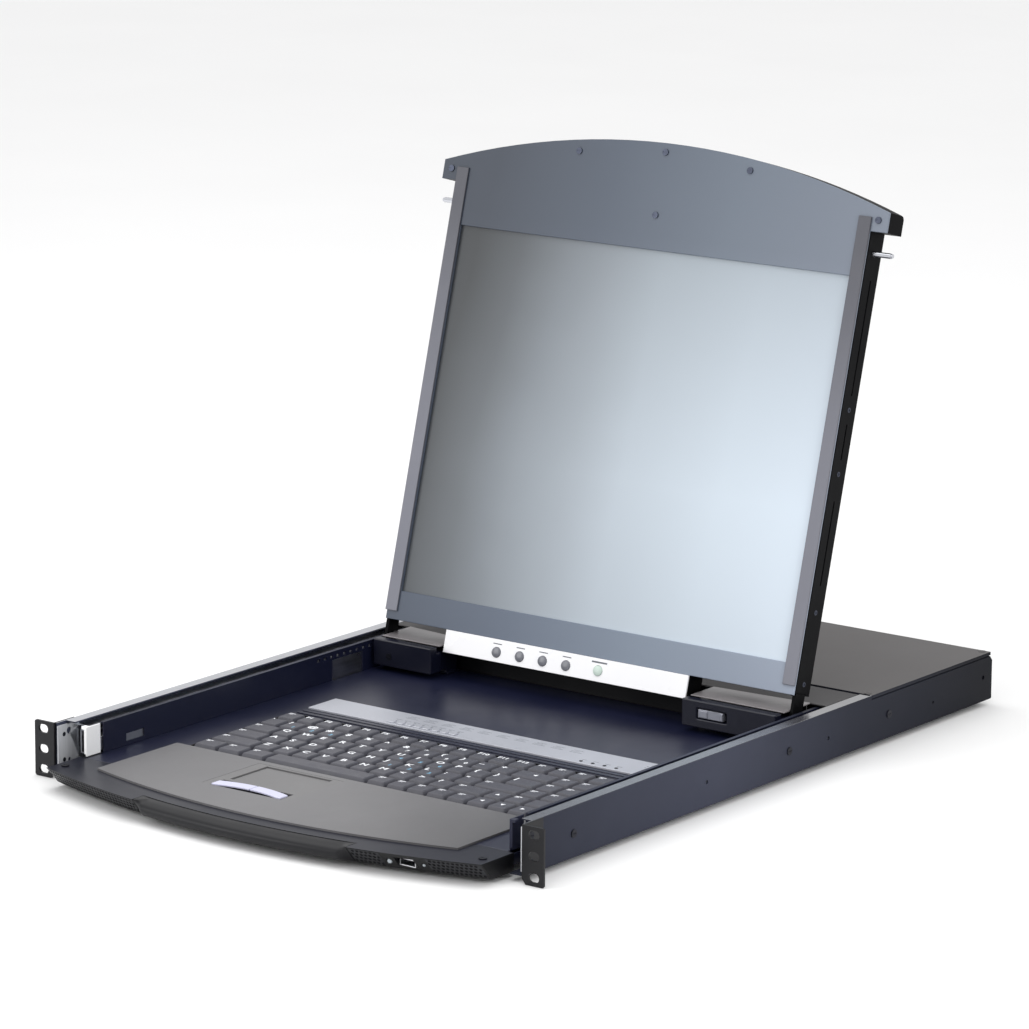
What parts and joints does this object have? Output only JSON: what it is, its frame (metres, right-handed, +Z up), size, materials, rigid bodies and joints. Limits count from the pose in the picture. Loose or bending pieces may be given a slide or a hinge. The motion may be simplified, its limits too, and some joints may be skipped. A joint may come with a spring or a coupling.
{
  "type": "rackmount lcd console drawer",
  "caption": "One-unit rack console: keyboard and touchpad drawer on telescopic slides in a sheet-metal case, with a fold-up flat display and a switch box behind.",
  "frame": {"origin": "centre of the screw pattern of the two rack ears, on their front faces", "axes": "+X to the user's right, +Y into the rack, +Z up"},
  "size_m": [0.4826, 0.6947, 0.4527],
  "materials": {
    "bezel_black": "satin",
    "block_navy": "satin",
    "button_lavender": "satin",
    "cage_steel": "plain",
    "case_paint": "satin powder paint",
    "circuit_board": "solder mask",
    "connector_black": "matte",
    "cover_paint": "fine texture paint",
    "deck_gloss": "gloss",
    "ear_paint": "satin powder paint",
    "handle_black": "satin",
    "hinge_steel": "machined",
    "key_dark": "matt",
    "lamp_button": "satin",
    "latch_silver": "satin",
    "lcd_bezel_blue": "metallic satin",
    "lcd_housing_black": "satin",
    "lcd_screen": "gloss",
    "lcd_trim_silver": "satin",
    "lever_white": "satin",
    "osd_button_grey": "satin",
    "osd_white": "satin",
    "palm_grey": "fine matt",
    "screw_bright": "nickel plated",
    "screw_dark": "black oxide",
    "slide_steel": "zinc plated",
    "socket_metal": "nickel plated",
    "strip_silver": "satin",
    "touchpad_grey": "matt",
    "zinc_steel": "galvanised"
  },
  "bodies": {
    "rack_frame": {"side_plate_left": "case_paint", "side_plate_right": "case_paint", "rack_ear_left": "ear_paint", "rack_ear_right": "ear_paint", "outer_slide_left": "zinc_steel", "outer_slide_right": "zinc_steel", "rear_case_base": "case_paint", "rear_case_cover": "cover_paint", "chassis_screws": "screw_dark", "main_board": "circuit_board", "power_supply": "zinc_steel", "power_inlet": "connector_black", "rear_sockets": "socket_metal"},
    "power_switch": {"power_switch": "connector_black"},
    "middle_slides": {"middle_slide_left": "slide_steel", "middle_slide_right": "slide_steel"},
    "outer_ball_cages": {"ball_cages_outer": "cage_steel"},
    "inner_ball_cages": {"ball_cages_inner": "cage_steel"},
    "drawer": {"drawer_pan": "case_paint", "deck_panel": "deck_gloss", "inner_slide_left": "slide_steel", "inner_slide_right": "slide_steel", "front_bezel": "bezel_black", "handle_grip": "handle_black", "palm_rest": "palm_grey", "touchpad": "touchpad_grey", "keyboard_base": "key_dark", "port_strip": "strip_silver", "usb_port": "socket_metal", "hinge_block_left": "block_navy", "hinge_block_right": "block_navy", "hinge_cover": "cover_paint", "hinge_barrels": "hinge_steel", "drawer_screws": "screw_dark"},
    "lcd": {"lcd_rear_housing": "lcd_housing_black", "lcd_front_bezel": "lcd_bezel_blue", "lcd_side_trim_left": "lcd_trim_silver", "lcd_side_trim_right": "lcd_trim_silver", "lcd_panel": "lcd_screen", "lcd_handle": "lcd_housing_black", "osd_housing": "lcd_housing_black", "osd_fascia": "osd_white", "hinge_arms": "lcd_housing_black", "lcd_screws": "screw_bright"},
    "lock_pin_left": {"lock_pin_left": "screw_bright"},
    "lock_pin_right": {"lock_pin_right": "screw_bright"},
    "slide_releases": {"slide_releases": "lever_white"},
    "release_latch": {"release_latch": "latch_silver"},
    "function_keys": {"function_keys": "key_dark"},
    "main_keys": {"main_keys": "key_dark"},
    "bottom_keys": {"bottom_keys": "key_dark"},
    "space_bar": {"space_bar": "key_dark"},
    "touchpad_button_left": {"touchpad_button_left": "button_lavender"},
    "touchpad_button_right": {"touchpad_button_right": "button_lavender"},
    "port_buttons": {"port_buttons": "strip_silver"},
    "osd_button_1": {"osd_button_1": "osd_button_grey"},
    "osd_button_2": {"osd_button_2": "osd_button_grey"},
    "osd_button_3": {"osd_button_3": "osd_button_grey"},
    "osd_button_4": {"osd_button_4": "osd_button_grey"},
    "lcd_power_button": {"lcd_power_button": "lamp_button"}
  },
  "joints": [
    {"name": "drawer_slide", "type": "slide", "parent": "rack_frame", "child": "drawer", "axis": [0, -1, 0], "range_m": [0, 0.42]},
    {"name": "middle_slide_travel", "type": "slide", "parent": "rack_frame", "child": "middle_slides", "axis": [0, -1, 0], "range_m": [0, 0.21]},
    {"name": "outer_cage_travel", "type": "slide", "parent": "rack_frame", "child": "outer_ball_cages", "axis": [0, -1, 0], "range_m": [0, 0.105]},
    {"name": "inner_cage_travel", "type": "slide", "parent": "rack_frame", "child": "inner_ball_cages", "axis": [0, -1, 0], "range_m": [0, 0.315]},
    {"name": "lcd_hinge", "type": "hinge", "parent": "drawer", "child": "lcd", "pos_m": [0, 0.3785, 0.00777], "axis": [1, 0, 0], "range_deg": [-10, 105]},
    {"name": "power_switch_rock", "type": "hinge", "parent": "rack_frame", "child": "power_switch", "pos_m": [-0.1545, 0.62, 0.00128], "axis": [1, 0, 0], "range_deg": [0, 10]},
    {"name": "lock_pin_left_push", "type": "slide", "parent": "lcd", "child": "lock_pin_left", "axis": [1, 0, 0], "range_m": [0, 0.008], "stiffness_N_per_m": 300, "springref_m": -0.004},
    {"name": "lock_pin_right_push", "type": "slide", "parent": "lcd", "child": "lock_pin_right", "axis": [-1, 0, 0], "range_m": [0, 0.008], "stiffness_N_per_m": 300, "springref_m": -0.004},
    {"name": "slide_releases_push", "type": "slide", "parent": "drawer", "child": "slide_releases", "axis": [0, 0, -1], "range_m": [0, 0.003], "stiffness_N_per_m": 400, "springref_m": -0.003},
    {"name": "release_latch_slide", "type": "slide", "parent": "drawer", "child": "release_latch", "axis": [1, 0, 0], "range_m": [0, 0.003], "stiffness_N_per_m": 300, "springref_m": -0.003},
    {"name": "function_keys_press", "type": "slide", "parent": "drawer", "child": "function_keys", "axis": [0, 0, -1], "range_m": [0, 0.0025], "stiffness_N_per_m": 3000, "springref_m": -0.002},
    {"name": "main_keys_press", "type": "slide", "parent": "drawer", "child": "main_keys", "axis": [0, 0, -1], "range_m": [0, 0.0025], "stiffness_N_per_m": 8000, "springref_m": -0.002},
    {"name": "bottom_keys_press", "type": "slide", "parent": "drawer", "child": "bottom_keys", "axis": [0, 0, -1], "range_m": [0, 0.0025], "stiffness_N_per_m": 2000, "springref_m": -0.002},
    {"name": "space_bar_press", "type": "slide", "parent": "drawer", "child": "space_bar", "axis": [0, 0, -1], "range_m": [0, 0.0025], "stiffness_N_per_m": 600, "springref_m": -0.002},
    {"name": "touchpad_button_left_press", "type": "slide", "parent": "drawer", "child": "touchpad_button_left", "axis": [0, 0, -1], "range_m": [0, 0.0006], "stiffness_N_per_m": 1500, "springref_m": -0.001},
    {"name": "touchpad_button_right_press", "type": "slide", "parent": "drawer", "child": "touchpad_button_right", "axis": [0, 0, -1], "range_m": [0, 0.0006], "stiffness_N_per_m": 1500, "springref_m": -0.001},
    {"name": "port_buttons_press", "type": "slide", "parent": "drawer", "child": "port_buttons", "axis": [0, 0, -1], "range_m": [0, 0.0006], "stiffness_N_per_m": 1500, "springref_m": -0.001},
    {"name": "osd_button_1_press", "type": "slide", "parent": "lcd", "child": "osd_button_1", "axis": [0, 0.9659, -0.2588], "range_m": [0, 0.0012], "stiffness_N_per_m": 800, "springref_m": -0.001},
    {"name": "osd_button_2_press", "type": "slide", "parent": "lcd", "child": "osd_button_2", "axis": [0, 0.9659, -0.2588], "range_m": [0, 0.0012], "stiffness_N_per_m": 800, "springref_m": -0.001},
    {"name": "osd_button_3_press", "type": "slide", "parent": "lcd", "child": "osd_button_3", "axis": [0, 0.9659, -0.2588], "range_m": [0, 0.0012], "stiffness_N_per_m": 800, "springref_m": -0.001},
    {"name": "osd_button_4_press", "type": "slide", "parent": "lcd", "child": "osd_button_4", "axis": [0, 0.9659, -0.2588], "range_m": [0, 0.0012], "stiffness_N_per_m": 800, "springref_m": -0.001},
    {"name": "lcd_power_button_press", "type": "slide", "parent": "lcd", "child": "lcd_power_button", "axis": [0, 0.9659, -0.2588], "range_m": [0, 0.0012], "stiffness_N_per_m": 800, "springref_m": -0.001}
  ],
  "couplings": [
    {"joint": "middle_slide_travel", "follows": "drawer_slide", "ratio": 0.5},
    {"joint": "outer_cage_travel", "follows": "drawer_slide", "ratio": 0.25},
    {"joint": "inner_cage_travel", "follows": "drawer_slide", "ratio": 0.75}
  ]
}
